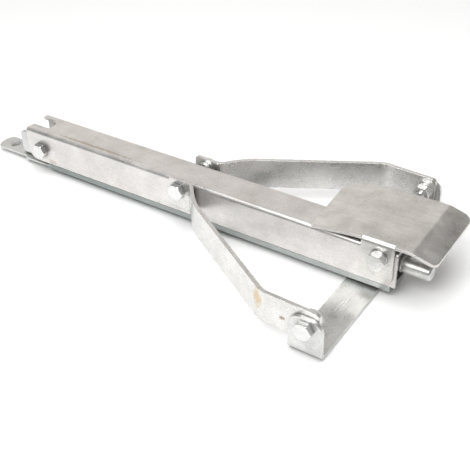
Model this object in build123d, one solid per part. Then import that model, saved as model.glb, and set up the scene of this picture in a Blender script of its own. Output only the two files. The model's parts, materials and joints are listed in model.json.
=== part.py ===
from build123d import *
import os
from math import cos, radians, sin, tan

# Gravity gate latch in galvanised steel, millimetres.
# The origin is the centre of the fixing hole, on the underside of the base.
# +X runs along the latch to the striker end, +Y across it, +Z up.

# ---- running fits and gaps ----
PIN_GAP = 0.08          # radial play of a bolt in a hole
SIDE_GAP = 0.3          # play beside a piece that turns
REST_GAP = 0.5          # gap where one piece comes to rest over another

# ---- base: a shallow tray whose floor runs out into a fixing tongue ----
BASE_WALL = 3.0
BASE_SIDES_START = 74.0  # the sides begin past the sweep of the lever's corner
BASE_SHORT = 5.5        # the base stops this far short of the lever's end
BASE_NECK_START = 33.0
BASE_NECK_WIDTH = 32.0
TONGUE_WIDTH = 25.0
TONGUE_REACH = 20.0     # from the fixing hole to the tip of the tongue
TONGUE_CROWN = 5.0      # how far the tongue's end bulges
TONGUE_HOLE_R = 6.5
SHEET_BEND = 1.0        # inner bend radius of the folded channels

# ---- hinge bracket: a narrow upright channel riveted in the base ----
BRACKET_WIDTH = 21.0    # passes through the notch in the lever
BRACKET_WALL = 4.0
BRACKET_START = 25.5
BRACKET_EARS_END = 88.0
BRACKET_END = 112.0
BRACKET_TOP = 35.0
BRACKET_LOW_SIDE = 9.0
RIVET_R = 3.0
RIVET_HEAD_R = 5.0
RIVET_HEAD = 2.4
RIVET_XS = (45.0, 100.0)

# ---- lever: an inverted channel that closes over the base ----
LEVER_WIDTH = 40.0
LEVER_WALL = 3.0
LEVER_START = 47.0
LEVER_END = 527.0
LEVER_TOP = 49.0
LEVER_BOTTOM = 9.0
LEVER_CORNER_R = 12.0   # the rounded lower corner that swings past the tab
NOTCH_WIDTH = 22.0
NOTCH_DEPTH = 26.0

# ---- striker bar and the two blocks that hold it in the base ----
BAR_R = 8.5
BAR_Z = 25.5
NOSE_STEP = 0.5         # the free end is turned down by this much
NOSE_SHOULDER = 1.0     # the turned end starts this far inside the lever
BAR_TAIL = 120.0
BAR_OVERHANG = 29.0     # how far it stands out past the lever
NOSE_ROUND = 2.5
BLOCK_THICK = 12.0
BLOCK_SIDE_GAP = 3.5    # clear of the bends of the base
BLOCK_TOP = 38.0
BLOCK_CORNER_R = 8.0
REAR_BLOCK_X = 134.0
FRONT_BLOCK_BACK = 37.0  # from the lever's end
SCREW_R = 2.5
SCREW_HEAD_R = 4.8
SCREW_DEPTH = 8.0       # how far the screws reach into a block
SCREW_INSET = 5.0       # from the side of the block

# ---- pivots, all across the latch ----
HINGE_X = 68.0
HINGE_Z = 25.0
YOKE_X = 274.0
PEDAL_BACK = 18.0       # the pedal bolt, back from the lever's end
PEDAL_BOLT_GAP = 1.5    # between the pedal bolt and the striker bar
EAR_BACK = 35.0         # the strap's bolts, back from the lever's end
EAR_Z = 28.5

# ---- M10 fasteners ----
BOLT_R = 5.0
HEAD_FLATS = 17.0
HEAD_HEIGHT = 6.4
NUT_HEIGHT = 8.4
THREAD_SHOWN = 3.0      # thread past the nut
THIN_NUT_HEIGHT = 5.0   # the yoke bolt has a thin nut, close to the arm
THIN_THREAD_SHOWN = 1.5
WASHER_R = 10.0
WASHER_THICK = 2.0
COLLAR_R = 8.0
SPACER_LENGTH = 4.4     # holds the far arm off the lever
CHAMFER = 0.8

# ---- yoke: two cranked arms of flat bar ----
BAR_WIDTH = 35.0        # flat bar of the arms and the cross strap
BAR_THICK = 4.0
ARM_START = 262.0
ARM_CRANK_X = 290.0     # where the arm turns away from the lever
CRANK_ANGLE = 50.0      # first turn
CRANK_LENGTH = 35.0
ELBOW_BACK = 49.0       # where the long inclined run ends, back from the ear's bolt
CRANK_R = 12.0
EASE_R = 90.0
ELBOW_R = 24.0
YOKE_OUT = 129.1        # outer face of the arms beside the ears
ARM_BEYOND_EAR = 12.0
ARM_TILT = 2.0          # degrees the arms slope down from the yoke bolt
NEAR_ARM_GAP = 0.8      # between the near arm and the lever
ARM_DROP = 4.0          # the yoke bolt sits this far above the arm's middle

# ---- cross strap ----
STRAP_BEND = 4.0
EAR_TOP = 40.0
EAR_CORNER_R = 13.0
PEDAL_EAR_CORNER_R = 6.0

# ---- pedal ----
PEDAL_WALL = 3.0
PEDAL_REACH_LEFT = 74.0     # these reaches along X start at the pedal bolt
PEDAL_REACH_RIGHT = 58.0
PEDAL_FAR = 69.0
PEDAL_SKEW = 5.0        # how far the left edge runs out towards the far side
PEDAL_FLAT_LEFT = 27.0  # the flat stretch of the tread reaches this far left
PEDAL_FLAT_RIGHT = 32.0  # and this far right
PEDAL_LIP_DROP = 6.5
PEDAL_EAR_WIDTH = 34.5
PEDAL_EAR_LEFT = 2.0    # the middle of the ear, left of the bolt
PEDAL_EAR_BOTTOM = 14.0
PEDAL_RISE = 17.5       # middle of the sheet on the flat stretch, above the bolt
PEDAL_SWEEP_R = 70.0    # the gentle rise of the tread
PEDAL_CREASE_R = 9.0    # the crease of the lip
PEDAL_BEND = 2.0
PEDAL_CORNER_RS = (20.0, 3.0, 7.0, 11.0)    # far left, near left, near right, far right
FAR_EAR_THICK = 4.0
FAR_EAR_FOOT = 28.0
FAR_EAR_BEND = 3.0

# ---- worked out from the sizes above ----
LEVER_HALF = LEVER_WIDTH / 2
BASE_END = LEVER_END - BASE_SHORT
FRONT_BLOCK_X = LEVER_END - FRONT_BLOCK_BACK
BLOCK_WIDTH = LEVER_WIDTH - 2 * BASE_WALL - 2 * BLOCK_SIDE_GAP
SCREW_SPREAD = BLOCK_WIDTH / 2 - SCREW_INSET
EAR_X = LEVER_END - EAR_BACK
PEDAL_X = LEVER_END - PEDAL_BACK
PEDAL_Z = BAR_Z + BAR_R + PEDAL_BOLT_GAP + BOLT_R
PEDAL_LEFT = PEDAL_X - PEDAL_REACH_LEFT
PEDAL_RIGHT = PEDAL_X + PEDAL_REACH_RIGHT
PEDAL_FLAT_X = PEDAL_X - PEDAL_FLAT_LEFT
PEDAL_LIP_X = PEDAL_X + PEDAL_FLAT_RIGHT
PEDAL_EAR_X = PEDAL_X - PEDAL_EAR_LEFT
PEDAL_FLAT_Z = PEDAL_Z + PEDAL_RISE
NOSE_R = BAR_R - NOSE_STEP
BASE_TOP = LEVER_BOTTOM - REST_GAP
YOKE_Z = BAR_Z + BAR_R + REST_GAP + BOLT_R      # the yoke bolt comes to rest on the bar
NEAR_ARM_IN = LEVER_HALF + NEAR_ARM_GAP
FAR_ARM_IN = LEVER_HALF + SPACER_LENGTH + 2 * SIDE_GAP
ARM_Z = YOKE_Z - ARM_DROP
EAR_IN = YOKE_OUT + SIDE_GAP
STRAP_TOP = -REST_GAP
PEDAL_EAR_IN = LEVER_HALF + SIDE_GAP
HOLE_R = BOLT_R + PIN_GAP


def across(x, z, radius, low, high):
    """A cylinder across the latch, from Y low to Y high."""
    plane = Plane(origin=(x, low, z), x_dir=(1, 0, 0), z_dir=(0, 1, 0))
    return plane * Cylinder(radius, high - low, align=(Align.CENTER, Align.CENTER, Align.MIN))


def chamfered_hex(x, z, low, high, chamfer_low, chamfer_high):
    """A hexagonal prism across the latch whose corners are turned down at the ends named."""
    plane = Plane(origin=(x, low, z), x_dir=(1, 0, 0), z_dir=(0, 1, 0))
    corner = HEAD_FLATS / 3 ** 0.5
    blank = plane * extrude(RegularPolygon(corner, 6), high - low)
    turned = across(x, z, corner, low, high)
    rims = []
    if chamfer_low:
        rims.append(turned.edges().sort_by(Axis.Y)[0])
    if chamfer_high:
        rims.append(turned.edges().sort_by(Axis.Y)[-1])
    turned = chamfer(rims, length=1.0, length2=1.0)
    return blank & turned


def bolt(x, z, seat, tip):
    """A hexagon bolt whose head bears on Y seat and whose shank ends at Y tip."""
    way = 1 if tip > seat else -1
    low, high = sorted((seat - way * HEAD_HEIGHT, seat))
    head = chamfered_hex(x, z, low, high, way > 0, way < 0)
    low, high = sorted((seat - way * 0.5, tip))
    shank = across(x, z, BOLT_R, low, high)
    ends = shank.edges().filter_by(GeomType.CIRCLE).sort_by(Axis.Y)
    shank = chamfer(ends[-1 if way > 0 else 0], length=CHAMFER)
    return head + shank


def nut(x, z, low, height):
    """A hexagon nut from Y low upwards, threaded on a bolt."""
    body = chamfered_hex(x, z, low, low + height, True, True)
    return body - across(x, z, HOLE_R, low - 1, low + height + 1)


def ring(x, z, outer, low, high):
    """A washer or collar round a bolt, from Y low to Y high."""
    return across(x, z, outer, low, high) - across(x, z, HOLE_R, low - 1, high + 1)


def channel(half, wall, bottom, top, start, end):
    """A folded channel with its web at the bottom, along X."""
    outer_r = SHEET_BEND + wall
    section = Rectangle(2 * half, top - bottom)
    hollow = Pos(0, wall) * Rectangle(2 * (half - wall), top - bottom)
    low_outer = section.vertices().filter_by(lambda v: v.Y < 0)
    section = fillet(low_outer, outer_r)
    low_inner = hollow.vertices().sort_by(Axis.Y)[0:2]
    hollow = fillet(low_inner, SHEET_BEND)
    section = section - hollow
    plane = Plane(origin=(start, 0, (bottom + top) / 2), x_dir=(0, 1, 0), z_dir=(1, 0, 0))
    return plane * extrude(section, end - start)


def corner_cut(x, z, radius, way_x, way_z, half):
    """What a rounded corner takes off a plate that stands along X, at the corner (x, z)."""
    side = 2 * half
    block = Pos(x + way_x * radius / 2, 0, z + way_z * radius / 2) * Box(radius, side, radius)
    return block - across(x + way_x * radius, z + way_z * radius, radius, -half - 1, half + 1)


def upright(x, y, radius, low, high):
    """An upright cylinder from Z low to Z high."""
    return Pos(x, y, low) * Cylinder(radius, high - low, align=(Align.CENTER, Align.CENTER, Align.MIN))


def countersink(x, y, radius, head_r):
    """The cone under a flush head, its wide end on the underside of the base."""
    rise = head_r - radius
    return Pos(x, y, 0) * Cone(head_r, radius, rise, align=(Align.CENTER, Align.CENTER, Align.MIN))


def base_tray():
    """The tray: low sides along most of its length, a bare floor and a tongue at the hinge end."""
    body = channel(LEVER_HALF, BASE_WALL, 0, BASE_TOP, BASE_SIDES_START, BASE_END)
    body -= corner_cut(BASE_SIDES_START, BASE_TOP, 4.0, 1, -1, LEVER_WIDTH)
    half = TONGUE_WIDTH / 2
    neck = BASE_NECK_WIDTH / 2
    crown_x = TONGUE_CROWN - TONGUE_REACH
    outline = make_face([
        Line((crown_x, half), (BASE_NECK_START, half)),
        Line((BASE_NECK_START, half), (BASE_NECK_START, neck)),
        Line((BASE_NECK_START, neck), (BASE_SIDES_START + 5, neck)),
        Line((BASE_SIDES_START + 5, neck), (BASE_SIDES_START + 5, -neck)),
        Line((BASE_SIDES_START + 5, -neck), (BASE_NECK_START, -neck)),
        Line((BASE_NECK_START, -neck), (BASE_NECK_START, -half)),
        Line((BASE_NECK_START, -half), (crown_x, -half)),
        ThreePointArc((crown_x, -half), (-TONGUE_REACH, 0), (crown_x, half)),
    ])
    body += extrude(outline, BASE_WALL)
    body -= upright(0, 0, TONGUE_HOLE_R, -1, BASE_WALL + 1)
    for x in RIVET_XS:
        body -= upright(x, 0, RIVET_R, -1, BASE_WALL + 1)
        body -= countersink(x, 0, RIVET_R, RIVET_HEAD_R)
    for x, y in screw_places():
        body -= upright(x, y, SCREW_R, -1, BASE_WALL + 1)
        body -= countersink(x, y, SCREW_R, SCREW_HEAD_R)
    return body


def screw_places():
    """Where the screws come up through the floor of the base into the two blocks."""
    return [(x, y) for x in (REAR_BLOCK_X, FRONT_BLOCK_X) for y in (-SCREW_SPREAD, SCREW_SPREAD)]


def hinge_bracket():
    """A narrow upright channel whose ears carry the hinge bolt."""
    half = BRACKET_WIDTH / 2
    body = channel(half, BRACKET_WALL, BASE_WALL, BRACKET_TOP, BRACKET_START, BRACKET_END)
    spare = BRACKET_END - BRACKET_EARS_END
    high = BRACKET_TOP - BRACKET_LOW_SIDE
    body -= Pos(BRACKET_EARS_END + spare, 0, BRACKET_LOW_SIDE + high) * Box(2 * spare, 4 * half, 2 * high)
    body -= corner_cut(BRACKET_START, BRACKET_TOP, 4.0, 1, -1, 2 * half)
    body -= corner_cut(BRACKET_EARS_END, BRACKET_TOP, 12.0, -1, -1, 2 * half)
    for x in RIVET_XS:
        body -= upright(x, 0, RIVET_R, 0, BRACKET_TOP)
    return body - across(HINGE_X, HINGE_Z, HOLE_R, -LEVER_WIDTH, LEVER_WIDTH)


def bracket_rivets():
    """Rivets flush under the base, with round heads on the floor of the bracket."""
    floor = BASE_WALL + BRACKET_WALL
    rivets = []
    for x in RIVET_XS:
        rivet = upright(x, 0, RIVET_R, 0, floor + 0.5)
        rivet += countersink(x, 0, RIVET_R, RIVET_HEAD_R)
        head = upright(x, 0, RIVET_HEAD_R, floor, floor + RIVET_HEAD)
        head = fillet(head.edges().filter_by(GeomType.CIRCLE).sort_by(Axis.Z)[-1], RIVET_HEAD * 0.9)
        rivets.append(rivet + head)
    return Compound(rivets)


def bar_block(x):
    """A block standing on the floor of the base, bored for the striker bar."""
    low = Pos(x, 0, (BASE_WALL + BLOCK_TOP) / 2)
    body = low * Box(BLOCK_THICK, BLOCK_WIDTH, BLOCK_TOP - BASE_WALL)
    body = fillet(body.edges().filter_by(Axis.X).sort_by(Axis.Z)[-2:], BLOCK_CORNER_R)
    body -= lengthways(BAR_R, x - BLOCK_THICK, x + BLOCK_THICK)
    for place_x, y in screw_places():
        body -= upright(place_x, y, SCREW_R, 0, BASE_WALL + SCREW_DEPTH)
    return body


def block_screws():
    """Countersunk screws from under the base, two into each block."""
    screws = []
    for x, y in screw_places():
        shank = upright(x, y, SCREW_R, 0, BASE_WALL + SCREW_DEPTH)
        screws.append(shank + countersink(x, y, SCREW_R, SCREW_HEAD_R))
    return Compound(screws)


def lengthways(radius, start, end):
    """A cylinder along the line of the striker bar."""
    plane = Plane(origin=(start, 0, BAR_Z), x_dir=(0, 1, 0), z_dir=(1, 0, 0))
    return plane * Cylinder(radius, end - start, align=(Align.CENTER, Align.CENTER, Align.MIN))


def lever_channel():
    body = channel(LEVER_HALF, LEVER_WALL, -LEVER_TOP, -LEVER_BOTTOM, LEVER_START, LEVER_END)
    body = body.mirror(Plane.XY)
    body -= corner_cut(LEVER_START, LEVER_BOTTOM, LEVER_CORNER_R, 1, 1, LEVER_WIDTH)
    notch_r = NOTCH_WIDTH / 2
    notch_x = LEVER_START + NOTCH_DEPTH - notch_r
    web_z = LEVER_TOP - LEVER_WALL / 2
    slot = Pos(notch_x - NOTCH_DEPTH / 2, 0, web_z) * Box(NOTCH_DEPTH, NOTCH_WIDTH, 3 * LEVER_WALL)
    slot += Pos(notch_x, 0, web_z) * Cylinder(notch_r, 3 * LEVER_WALL)
    body -= slot
    for x, z in ((HINGE_X, HINGE_Z), (YOKE_X, YOKE_Z), (PEDAL_X, PEDAL_Z)):
        body -= across(x, z, HOLE_R, -LEVER_WIDTH, LEVER_WIDTH)
    return body


def striker_bar():
    """The bar, with its free end turned down beyond a shoulder."""
    shoulder = LEVER_END - NOSE_SHOULDER
    nose = lengthways(NOSE_R, shoulder - 1, LEVER_END + BAR_OVERHANG)
    nose = fillet(nose.edges().filter_by(GeomType.CIRCLE).sort_by(Axis.X)[-1], NOSE_ROUND)
    body = lengthways(BAR_R, BAR_TAIL, shoulder)
    body = chamfer(body.edges().filter_by(GeomType.CIRCLE).sort_by(Axis.X)[0], length=1.0)
    return body + nose


def arm(side, inner_face):
    """A cranked arm of the yoke on the side +1 or -1, its flat end at |Y| inner_face."""
    mid_in = NEAR_ARM_IN + BAR_THICK / 2
    mid_out = YOKE_OUT - BAR_THICK / 2
    rise = tan(radians(CRANK_ANGLE))
    crank_x = ARM_CRANK_X + CRANK_LENGTH * cos(radians(CRANK_ANGLE))
    crank_y = mid_in + CRANK_LENGTH * sin(radians(CRANK_ANGLE))
    elbow_x = EAR_X - ELBOW_BACK
    flat_y = inner_face + BAR_THICK / 2
    turn_x = ARM_CRANK_X + (flat_y - mid_in) / rise
    path = FilletPolyline(
        (ARM_START, side * flat_y, ARM_Z),
        (turn_x, side * flat_y, ARM_Z),
        (crank_x, side * crank_y, ARM_Z),
        (elbow_x, side * mid_out, ARM_Z),
        (EAR_X + ARM_BEYOND_EAR, side * mid_out, ARM_Z),
        radius=[CRANK_R, EASE_R, ELBOW_R],
    )
    start = Plane(origin=path @ 0, x_dir=(0, 0, 1), z_dir=path % 0)
    body = sweep(start * Rectangle(BAR_WIDTH, BAR_THICK), path=path)
    corners = body.edges().filter_by(Axis.Y)
    body = fillet(corners.sort_by(Axis.X)[:2], 3.0)
    corners = body.edges().filter_by(Axis.Y)
    body = fillet(corners.sort_by(Axis.X)[-2:], 5.0)
    body = body.rotate(Axis((YOKE_X, 0, ARM_Z), (0, 1, 0)), ARM_TILT)
    for x, z in ((YOKE_X, YOKE_Z), (EAR_X, EAR_Z)):
        body -= across(x, z, HOLE_R, -2 * YOKE_OUT, 2 * YOKE_OUT)
    return body


def cross_strap():
    """The strap under the base, turned up at both ends into round-topped ears."""
    mid_z = STRAP_TOP - BAR_THICK / 2
    mid_y = EAR_IN + BAR_THICK / 2
    path = FilletPolyline(
        (EAR_X, -mid_y, EAR_TOP),
        (EAR_X, -mid_y, mid_z),
        (EAR_X, mid_y, mid_z),
        (EAR_X, mid_y, EAR_TOP),
        radius=STRAP_BEND + BAR_THICK / 2,
    )
    start = Plane(origin=path @ 0, x_dir=(1, 0, 0), z_dir=path % 0)
    body = sweep(start * Rectangle(BAR_WIDTH, BAR_THICK), path=path)
    corner = BAR_WIDTH / 2
    reach = 2 * mid_y
    for way in (-1, 1):
        body -= corner_cut(EAR_X + way * corner, EAR_TOP, EAR_CORNER_R, -way, -1, reach)
    return body - across(EAR_X, EAR_Z, HOLE_R, -reach, reach)


def pedal_plate():
    """The tread, folded down at its near edge into the ear that turns on the pedal bolt."""
    half = PEDAL_WALL / 2
    rest_z = LEVER_TOP + SIDE_GAP + half
    path = FilletPolyline(
        (PEDAL_LEFT - PEDAL_SKEW, 0, rest_z),
        (PEDAL_FLAT_X, 0, PEDAL_FLAT_Z),
        (PEDAL_LIP_X, 0, PEDAL_FLAT_Z),
        (PEDAL_RIGHT, 0, PEDAL_FLAT_Z - PEDAL_LIP_DROP),
        radius=[PEDAL_SWEEP_R, PEDAL_CREASE_R],
    )
    start = Plane(origin=path @ 0, x_dir=(0, 1, 0), z_dir=path % 0)
    tread = sweep(start * Rectangle(6 * PEDAL_FAR, PEDAL_WALL), path=path)
    near = -(PEDAL_EAR_IN + PEDAL_WALL)
    outline = make_face(Polyline(
        (PEDAL_LEFT, near),
        (PEDAL_RIGHT - 1, near),
        (PEDAL_RIGHT - 1, PEDAL_FAR),
        (PEDAL_LEFT - PEDAL_SKEW, PEDAL_FAR),
        (PEDAL_LEFT, near),
    ))
    rounds = (
        (PEDAL_LEFT - PEDAL_SKEW, PEDAL_FAR, PEDAL_CORNER_RS[0]),
        (PEDAL_LEFT, near, PEDAL_CORNER_RS[1]),
        (PEDAL_RIGHT - 1, near, PEDAL_CORNER_RS[2]),
        (PEDAL_RIGHT - 1, PEDAL_FAR, PEDAL_CORNER_RS[3]),
    )
    for x, y, radius in rounds:
        corner = outline.vertices().sort_by_distance((x, y))[0]
        outline = fillet(corner, radius)
    tread &= Pos(0, 0, LEVER_BOTTOM) * extrude(outline, 2 * LEVER_TOP)
    # the fold and the ear
    bend_r = PEDAL_BEND + PEDAL_WALL
    ear_low = PEDAL_EAR_X - PEDAL_EAR_WIDTH / 2
    fold = Pos(PEDAL_EAR_X, near + bend_r / 2, PEDAL_FLAT_Z) * Box(PEDAL_EAR_WIDTH, bend_r, 2 * bend_r)
    ear_path = FilletPolyline(
        (ear_low, near + half, PEDAL_EAR_BOTTOM),
        (ear_low, near + half, PEDAL_FLAT_Z),
        (ear_low, near + bend_r + 2, PEDAL_FLAT_Z),
        radius=PEDAL_BEND + half,
    )
    ear_start = Plane(origin=ear_path @ 0, x_dir=(1, 0, 0), z_dir=ear_path % 0)
    ear_section = Pos(PEDAL_EAR_WIDTH / 2, 0) * Rectangle(PEDAL_EAR_WIDTH, PEDAL_WALL)
    ear = sweep(ear_start * ear_section, path=ear_path)
    body = (tread - fold) + ear
    lower = body.edges().filter_by(Axis.Y).sort_by(Axis.Z)[0:2]
    body = fillet(lower, PEDAL_EAR_CORNER_R)
    return body - across(PEDAL_X, PEDAL_Z, HOLE_R, -2 * LEVER_WIDTH, 0)


def pedal_far_ear():
    """The angle under the tread that turns on the far end of the pedal bolt."""
    half = FAR_EAR_THICK / 2
    low = PEDAL_EAR_X - PEDAL_EAR_WIDTH / 2
    top = PEDAL_FLAT_Z - PEDAL_WALL / 2
    mid_y = PEDAL_EAR_IN + half
    path = FilletPolyline(
        (low, mid_y, PEDAL_EAR_BOTTOM),
        (low, mid_y, top - half),
        (low, mid_y + FAR_EAR_FOOT, top - half),
        radius=FAR_EAR_BEND + half,
    )
    start = Plane(origin=path @ 0, x_dir=(1, 0, 0), z_dir=path % 0)
    section = Pos(PEDAL_EAR_WIDTH / 2, 0) * Rectangle(PEDAL_EAR_WIDTH, FAR_EAR_THICK)
    body = sweep(start * section, path=path)
    lower = body.edges().filter_by(Axis.Y).sort_by(Axis.Z)[0:2]
    body = fillet(lower, PEDAL_EAR_CORNER_R)
    return body - across(PEDAL_X, PEDAL_Z, HOLE_R, 0, 2 * LEVER_WIDTH)


def bolt_through(name, x, z, near_face, far_face, near_washer=False, thin_nut=False):
    """The bolt, nut and washers of a pivot that crosses the whole latch, head on the near side."""
    height = THIN_NUT_HEIGHT if thin_nut else NUT_HEIGHT
    thread = THIN_THREAD_SHOWN if thin_nut else THREAD_SHOWN
    seat = near_face - SIDE_GAP
    pieces = {}
    if near_washer:
        pieces[name + "_head_washer"] = ring(x, z, WASHER_R, seat - WASHER_THICK, seat)
        seat -= WASHER_THICK
    washer_low = far_face + SIDE_GAP
    nut_low = washer_low + WASHER_THICK
    tip = nut_low + height + thread
    pieces[name + "_bolt"] = bolt(x, z, seat, tip)
    pieces[name + "_nut_washer"] = ring(x, z, WASHER_R, washer_low, nut_low)
    pieces[name + "_nut"] = nut(x, z, nut_low, height)
    return pieces


def ear_fastening(name, side):
    """The bolt, washer and nut that hold one ear of the strap on its arm, nut on the inside."""
    head_seat = side * (EAR_IN + BAR_THICK + SIDE_GAP)
    arm_inside = YOKE_OUT - BAR_THICK
    washer_low = arm_inside - WASHER_THICK
    nut_inside = washer_low - NUT_HEIGHT
    tip = nut_inside - THREAD_SHOWN
    low, high = sorted((side * washer_low, side * arm_inside))
    pieces = {name + "_bolt": bolt(EAR_X, EAR_Z, head_seat, side * tip)}
    pieces[name + "_washer"] = ring(EAR_X, EAR_Z, WASHER_R, low, high)
    nut_low = min(side * nut_inside, side * washer_low)
    pieces[name + "_nut"] = nut(EAR_X, EAR_Z, nut_low, NUT_HEIGHT)
    return pieces


def build_all():
    parts = {
        "base_tray": base_tray(),
        "hinge_bracket": hinge_bracket(),
        "bracket_rivets": bracket_rivets(),
        "striker_bar": striker_bar(),
        "rear_bar_block": bar_block(REAR_BLOCK_X),
        "front_bar_block": bar_block(FRONT_BLOCK_X),
        "block_screws": block_screws(),
        "lever_channel": lever_channel(),
        "near_arm": arm(-1, NEAR_ARM_IN),
        "far_arm": arm(1, FAR_ARM_IN),
        "cross_strap": cross_strap(),
        "pedal_plate": pedal_plate(),
        "pedal_far_ear": pedal_far_ear(),
    }
    parts.update(bolt_through("hinge", HINGE_X, HINGE_Z, -LEVER_HALF, LEVER_HALF))
    near_out = -(NEAR_ARM_IN + BAR_THICK)
    far_out = FAR_ARM_IN + BAR_THICK
    parts.update(bolt_through("yoke", YOKE_X, YOKE_Z, near_out, far_out, thin_nut=True))
    near_ear_out = -(PEDAL_EAR_IN + PEDAL_WALL)
    far_ear_out = PEDAL_EAR_IN + FAR_EAR_THICK
    parts.update(bolt_through("pedal", PEDAL_X, PEDAL_Z, near_ear_out, far_ear_out, near_washer=True))
    parts.update(ear_fastening("near_ear", -1))
    parts.update(ear_fastening("far_ear", 1))
    collar_low = BRACKET_WIDTH / 2
    collar_high = LEVER_HALF - LEVER_WALL - SIDE_GAP
    parts["near_hinge_collar"] = ring(HINGE_X, HINGE_Z, COLLAR_R, -collar_high, -collar_low)
    parts["far_hinge_collar"] = ring(HINGE_X, HINGE_Z, COLLAR_R, collar_low, collar_high)
    spacer_low = LEVER_HALF + SIDE_GAP
    parts["far_arm_spacer"] = ring(YOKE_X, YOKE_Z, WASHER_R, spacer_low, spacer_low + SPACER_LENGTH)
    return parts


os.makedirs("parts", exist_ok=True)
for node, shape in build_all().items():
    shape.label = node
    export_step(shape, f"parts/{node}.step")
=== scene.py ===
"""A gravity gate latch in galvanised steel, on a plain pale floor under soft studio light."""

import json
import math

import bpy
from mathutils import Matrix, Vector


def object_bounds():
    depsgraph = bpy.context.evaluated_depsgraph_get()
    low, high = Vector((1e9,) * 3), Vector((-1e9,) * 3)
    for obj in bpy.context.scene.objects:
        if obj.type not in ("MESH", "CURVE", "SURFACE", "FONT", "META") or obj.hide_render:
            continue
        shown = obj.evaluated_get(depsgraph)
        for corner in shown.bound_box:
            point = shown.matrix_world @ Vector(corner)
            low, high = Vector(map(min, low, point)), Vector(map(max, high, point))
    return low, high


# ---- camera, in metres and degrees ----
CAMERA_AT = (0.7689, -0.6392, 0.5527)
CAMERA_YAW = -34.53
CAMERA_PITCH = -36.16
CAMERA_ROLL = -1.98
CAMERA_LENS = 67.1
SENSOR = 36.0
CLIP = (0.05, 50.0)

# ---- floor and lights, in metres and watts ----
FLOOR_SIZE = 12
FLOOR_MIDDLE = (0.25, 0)
FLOOR_GAP = 0.0002
FLOOR_COLOUR = (0.93, 0.93, 0.93, 1)
SOFTBOXES = (
    ("overhead", (0.10, -0.10, 1.0), 2.2, (2.4, 2.0), 46.0),
    ("front_right", (0.05, -0.66, 0.75), 2.0, (1.3, 0.9), 19.0),
)
# ---- the room: its colours by height, then the darker front and the darker wall at the back right ----
ROOM_STRENGTH = 1.08
ROOM_RISE = (
    (0.0, (0.95, 0.93, 0.90, 1)),
    (1.0, (0.55, 0.57, 0.57, 1)),
    (0.45, (0.85, 0.81, 0.78, 1)),
    (0.60, (0.70, 0.67, 0.64, 1)),
    (0.74, (0.36, 0.36, 0.35, 1)),
)
ROOM_FRONT = (
    (0.30, (0.30, 0.33, 0.33, 1)),
    (0.62, (1, 1, 1, 1)),
)
WALL_FROM, WALL_TO = -0.24, 0.02
WALL_SHADE = 0.36

# ---- finishes: tint, roughness, strength of the clouds and of the rolling streaks ----
FINISHES = {
    "lever_zinc": dict(tint=(0.80, 0.775, 0.755), rough=0.31, cloud=0.07, streak=0.50, along=(1, 0, 0)),
    "base_zinc": dict(tint=(0.74, 0.75, 0.74), rough=0.34, cloud=0.08, streak=0.40, along=(1, 0, 0)),
    "arm_zinc": dict(tint=(0.79, 0.78, 0.765), rough=0.25, cloud=0.07, streak=0.40, along=(1, 0, 0)),
    "strap_zinc": dict(tint=(0.80, 0.80, 0.785), rough=0.29, cloud=0.10, streak=0.80, along=(0, 1, 0)),
    "pedal_zinc": dict(tint=(0.80, 0.78, 0.75), rough=0.30, cloud=0.12, streak=0.90, along=(1, 0, 0)),
    "bar_zinc": dict(tint=(0.76, 0.76, 0.74), rough=0.34, cloud=0.09, streak=0.30, along=(1, 0, 0)),
    "fastener_zinc": dict(tint=(0.83, 0.83, 0.82), rough=0.22, cloud=0.05, streak=0.10, along=(1, 0, 0)),
}
# ---- local marks, in metres: middle, half size and colour ----
MARKS = {
    "lever_zinc": [
        ((0.150, -0.012, 0.049), (0.065, 0.0022, 0.004), (0.36, 0.30, 0.20, 1), 0.62),
        ((0.083, -0.020, 0.013), (0.008, 0.004, 0.0035), (0.42, 0.31, 0.19, 1), 0.40),
    ],
    "arm_zinc": [
        ((0.437, -0.127, 0.036), (0.007, 0.012, 0.013), (0.58, 0.45, 0.27, 1), 0.80),
        ((0.466, -0.129, 0.026), (0.003, 0.006, 0.003), (0.30, 0.20, 0.12, 1), 0.80),
    ],
}
# painted shade, a greenish grey, on the sides of the base
PAINTED_SIDE_SHADE = (0.23, 0.265, 0.26, 1)     # the sides of the base, shaded by the lever
SIDE_SHADE_FROM, SIDE_SHADE_TO = 0.060, 0.080       # along X, where the painted shade sets in
SIDE_SHADE_AT_START, SIDE_SHADE_AT_END = 0.92, 0.45
BUMP_DEPTH = 0.00014
# radius of the rounded edges, which also sets the width of the painted edge highlight
EDGE_ROUNDING = 0.0007
# reach of the painted shade in the corners
CORNER_SHADE_REACH = 0.007
RUST = (0.30, 0.17, 0.07, 1)
# colour of the painted shade in the corners
PAINTED_CORNER_SHADE = (0.16, 0.15, 0.13, 1)


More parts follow.
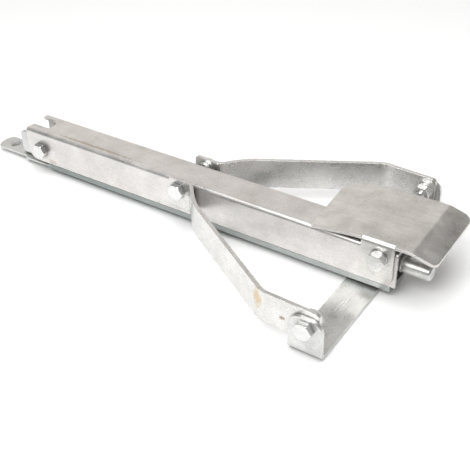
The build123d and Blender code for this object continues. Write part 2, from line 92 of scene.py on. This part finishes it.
class Graph:
    """A short way to write the nodes of a material or a world."""

    def __init__(self, owner):
        owner.use_nodes = True
        self.tree = owner.node_tree
        self.tree.nodes.clear()

    def add(self, kind, inputs=(), **settings):
        node = self.tree.nodes.new(kind)
        for name, value in settings.items():
            setattr(node, name, value)
        for name, value in dict(inputs).items():
            self.put(node.inputs[name], value)
        return node

    def put(self, socket, value):
        if isinstance(value, bpy.types.NodeSocket):
            self.tree.links.new(value, socket)
        else:
            socket.default_value = value

    def math(self, operation, a, b=0.0, clamp=False):
        node = self.add("ShaderNodeMath", operation=operation, use_clamp=clamp)
        self.put(node.inputs[0], a)
        self.put(node.inputs[1], b)
        return node.outputs[0]

    def span(self, value, low, high, to_low, to_high):
        node = self.add("ShaderNodeMapRange", clamp=True)
        for place, number in enumerate((value, low, high, to_low, to_high)):
            self.put(node.inputs[place], number)
        return node.outputs[0]

    def mix(self, share, a, b, blend="MIX"):
        node = self.add("ShaderNodeMix", data_type="RGBA", blend_type=blend)
        self.put(node.inputs[0], share)
        self.put(node.inputs[6], a)
        self.put(node.inputs[7], b)
        return node.outputs[2]

    def ramp(self, value, stops):
        """A colour ramp; the first two stops use the ramp's own elements."""
        node = self.add("ShaderNodeValToRGB", {0: value})
        elements = node.color_ramp.elements
        for place, (position, colour) in enumerate(stops):
            element = elements[place] if place < 2 else elements.new(position)
            element.position = position
            element.color = colour
        return node.outputs[0]

    def noise(self, place, scale, detail=3.0, rough=0.5):
        inputs = {"Vector": place, "Scale": scale, "Detail": detail, "Roughness": rough}
        return self.add("ShaderNodeTexNoise", inputs).outputs[0]

    def stretched(self, place, along, ratio):
        """The same coordinates, drawn out along one axis."""
        scale = [1.0 / ratio if a else 1.0 for a in along]
        node = self.add("ShaderNodeMapping", {"Vector": place, "Scale": scale})
        return node.outputs[0]


def paint_side_shade(g, place, colour):
    """Painted shade: darkens the sides of the base to a greenish grey, less towards the striker end."""
    x = g.add("ShaderNodeSeparateXYZ", {"Vector": place}).outputs["X"]
    share = g.math("MULTIPLY", g.span(x, SIDE_SHADE_FROM, SIDE_SHADE_TO, 0, 1),
                   g.span(x, SIDE_SHADE_TO, 0.52, SIDE_SHADE_AT_START, SIDE_SHADE_AT_END))
    return g.mix(share, colour, PAINTED_SIDE_SHADE)


def mark(g, place, colour, middle, half, tone, strength):
    """A stain with a ragged edge, inside an ellipsoid."""
    scale = [1.0 / h for h in half]
    shift = [-m / h for m, h in zip(middle, half)]
    near = g.add("ShaderNodeMapping", {"Vector": place, "Scale": scale, "Location": shift})
    reach = g.add("ShaderNodeVectorMath", {0: near.outputs[0]}, operation="LENGTH").outputs["Value"]
    ragged = g.math("ADD", reach, g.span(g.noise(place, 260.0, 4.0, 0.7), 0.3, 0.7, -0.55, 0.55))
    return g.mix(g.span(ragged, 0.55, 1.0, strength, 0.0), colour, tone)


def zinc(name, tint, rough, cloud, streak, along, marks=(), side_shade=False):
    """Galvanised steel: soft clouds, faint crystals, rolling streaks, a painted highlight on the edges and
    painted shade in the corners.
    """
    material = bpy.data.materials.new(name)
    g = Graph(material)
    place = g.add("ShaderNodeTexCoord").outputs["Object"]
    clouds = g.noise(place, 38.0, 4.0, 0.6)
    fine = g.noise(place, 420.0, 3.0, 0.6)
    crystals = g.add("ShaderNodeTexVoronoi", {"Vector": place, "Scale": 210.0}, feature="SMOOTH_F1")
    crystals = crystals.outputs["Distance"]
    lines = g.noise(g.stretched(place, along, 28.0), 900.0, 3.0, 0.55)
    bands = g.noise(g.stretched(place, along, 9.0), 160.0, 3.0, 0.55)

    pale = (*[min(c * 1.06, 0.95) for c in tint], 1)
    deep = (*[c * (1 - 2.2 * cloud) for c in tint], 1)
    colour = g.mix(g.span(clouds, 0.34, 0.66, 0, 1), deep, pale)
    tone = g.math("ADD", g.math("MULTIPLY", lines, 0.6), g.math("MULTIPLY", bands, 0.4))
    tone = g.span(tone, 0.36, 0.62, 0, 1)
    colour = g.mix(g.math("MULTIPLY", tone, 0.44 * streak), colour, (*[c * 0.60 for c in tint], 1))
    colour = g.mix(g.span(crystals, 0.2, 0.8, 0.0, 0.10), colour, (*[min(c * 1.12, 0.96) for c in tint], 1))

    # brown stains where water has stood
    stain = g.noise(place, 9.0, 6.0, 0.62)
    spots = g.math("MULTIPLY", g.span(stain, 0.63, 0.74, 0, 1), g.span(fine, 0.42, 0.62, 0, 1))
    colour = g.mix(g.math("MULTIPLY", spots, 0.22), colour, RUST)

    # a fine salt-and-pepper grain
    grain = g.noise(place, 780.0, 2.0, 0.7)
    colour = g.mix(g.span(grain, 0.38, 0.54, 0.30, 0.0), colour, (*[c * 0.55 for c in tint], 1))
    # painted shade on the sides of the base
    if side_shade:
        colour = paint_side_shade(g, place, colour)
    for middle, half, tone_of_mark, strength in marks:
        colour = mark(g, place, colour, middle, half, tone_of_mark, strength)

    # painted shade in the corners, where the occlusion node finds nearby surfaces
    shade = g.add("ShaderNodeAmbientOcclusion", {"Distance": CORNER_SHADE_REACH}, samples=6).outputs["AO"]
    corner_shade = g.span(shade, 0.25, 0.85, 0.55, 0.0)
    corner_shade = g.math("MULTIPLY", corner_shade, g.span(clouds, 0.3, 0.7, 0.6, 1.0))
    colour = g.mix(corner_shade, colour, PAINTED_CORNER_SHADE)

    # painted highlight on the edges, where the rounded normal turns away from the true one
    soft = g.add("ShaderNodeBevel", {"Radius": EDGE_ROUNDING}, samples=4).outputs[0]
    sharp = g.add("ShaderNodeNewGeometry").outputs["Normal"]
    facing = g.add("ShaderNodeVectorMath", operation="DOT_PRODUCT")
    g.put(facing.inputs[0], soft)
    g.put(facing.inputs[1], sharp)
    edge = g.span(facing.outputs["Value"], 0.995, 0.90, 0.0, 1.0)
    edge_highlight = g.math("MULTIPLY", edge, g.span(fine, 0.35, 0.65, 0.3, 0.8))
    colour = g.mix(g.math("MULTIPLY", edge_highlight, 0.5), colour, (0.90, 0.90, 0.88, 1))

    roughness = g.span(clouds, 0.3, 0.7, rough - 0.05, rough + 0.07)
    roughness = g.math("ADD", roughness, g.math("MULTIPLY", corner_shade, 0.3))
    roughness = g.math("ADD", roughness, g.span(tone, 0, 1, -0.03, 0.05), clamp=True)

    height = g.math("ADD", g.math("MULTIPLY", fine, 0.5), g.math("MULTIPLY", lines, 0.6 * streak))
    height = g.math("ADD", height, g.math("MULTIPLY", crystals, 0.25))
    bump = g.add("ShaderNodeBump", {
        "Height": height, "Distance": BUMP_DEPTH, "Strength": 0.45, "Normal": soft,
    })

    shader = g.add("ShaderNodeBsdfPrincipled", {
        "Base Color": colour, "Metallic": 0.92, "Roughness": roughness, "Normal": bump.outputs[0],
    })
    out = g.add("ShaderNodeOutputMaterial")
    g.put(out.inputs["Surface"], shader.outputs[0])
    return material


def dress(frame):
    """Gives every CAD node the procedural finish of its slot."""
    made = {}
    for slot, finish in FINISHES.items():
        marks = MARKS.get(slot, ())
        # only the base gets the painted shade on its sides
        made[slot] = zinc(slot + "_finish", marks=marks, side_shade=slot == "base_zinc", **finish)
    for part in frame["record"]["subparts"]:
        node = frame["nodes"][part["node"]]
        for place in range(len(node.material_slots)):
            node.material_slots[place].material = made[part["material_slot"]]


def pale_floor(height):
    bpy.ops.mesh.primitive_plane_add(size=FLOOR_SIZE, location=(*FLOOR_MIDDLE, height))
    floor = bpy.context.object
    floor.name = "floor"
    material = bpy.data.materials.new("floor_paper")
    g = Graph(material)
    shader = g.add("ShaderNodeBsdfPrincipled", {"Base Color": FLOOR_COLOUR, "Roughness": 0.9})
    out = g.add("ShaderNodeOutputMaterial")
    g.put(out.inputs["Surface"], shader.outputs[0])
    floor.data.materials.append(material)


def soft_room():
    """A room that is pale behind the object, and dimmer overhead, in front and at the back right."""
    world = bpy.data.worlds.new("room")
    bpy.context.scene.world = world
    g = Graph(world)
    place = g.add("ShaderNodeTexCoord").outputs["Generated"]
    split = g.add("ShaderNodeSeparateXYZ", {"Vector": place}).outputs
    rise = g.ramp(split["Z"], ROOM_RISE)
    front = g.ramp(g.span(split["Y"], -1, 1, 0, 1), ROOM_FRONT)
    wall = g.add("ShaderNodeMapRange", interpolation_type="SMOOTHSTEP", clamp=True)
    for socket, value in enumerate((split["X"], WALL_FROM, WALL_TO, 1.0, WALL_SHADE)):
        g.put(wall.inputs[socket], value)
    colour = g.mix(1.0, rise, front, "MULTIPLY")
    colour = g.mix(1.0, colour, wall.outputs[0], "MULTIPLY")
    background = g.add("ShaderNodeBackground", {"Color": colour, "Strength": ROOM_STRENGTH})
    out = g.add("ShaderNodeOutputWorld")
    g.put(out.inputs[0], background.outputs[0])


def softbox(name, direction, distance, size, power, target):
    light = bpy.data.lights.new(name, "AREA")
    light.shape = "RECTANGLE"
    light.size, light.size_y = size
    light.energy = power
    lamp = bpy.data.objects.new(name, light)
    bpy.context.scene.collection.objects.link(lamp)
    way = Vector(direction).normalized()
    lamp.location = target + way * distance
    lamp.rotation_mode = "QUATERNION"
    lamp.rotation_quaternion = (-way).to_track_quat("-Z", "Y")


def lights(target):
    for name, direction, distance, size, power in SOFTBOXES:
        softbox(name, direction, distance, size, power, target)


def camera():
    data = bpy.data.cameras.new("camera")
    data.sensor_width = SENSOR
    data.lens = CAMERA_LENS
    eye = bpy.data.objects.new("camera", data)
    bpy.context.scene.collection.objects.link(eye)
    yaw, pitch, roll = (math.radians(a) for a in (CAMERA_YAW, CAMERA_PITCH, CAMERA_ROLL))
    ahead = Vector((math.sin(yaw) * math.cos(pitch), math.cos(yaw) * math.cos(pitch), math.sin(pitch)))
    side = ahead.cross(Vector((0, 0, 1))).normalized()
    up = side.cross(ahead)
    right = math.cos(roll) * side + math.sin(roll) * up
    top = math.cos(roll) * up - math.sin(roll) * side
    turn = Matrix((right, top, -ahead)).transposed()
    eye.matrix_world = Matrix.Translation(CAMERA_AT) @ turn.to_4x4()
    data.clip_start, data.clip_end = CLIP
    bpy.context.scene.camera = eye


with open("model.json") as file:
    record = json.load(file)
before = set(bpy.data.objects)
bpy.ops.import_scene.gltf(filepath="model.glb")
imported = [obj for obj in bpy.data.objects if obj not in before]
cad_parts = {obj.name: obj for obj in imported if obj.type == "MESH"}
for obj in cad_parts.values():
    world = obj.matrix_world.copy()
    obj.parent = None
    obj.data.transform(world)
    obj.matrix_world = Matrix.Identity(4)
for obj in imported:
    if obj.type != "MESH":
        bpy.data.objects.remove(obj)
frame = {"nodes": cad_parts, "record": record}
cad_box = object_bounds()
dress(frame)
low, high = cad_box
pale_floor(low.z - FLOOR_GAP)
soft_room()
lights((low + high) / 2)
camera()
bpy.context.scene.view_settings.view_transform = "Standard"
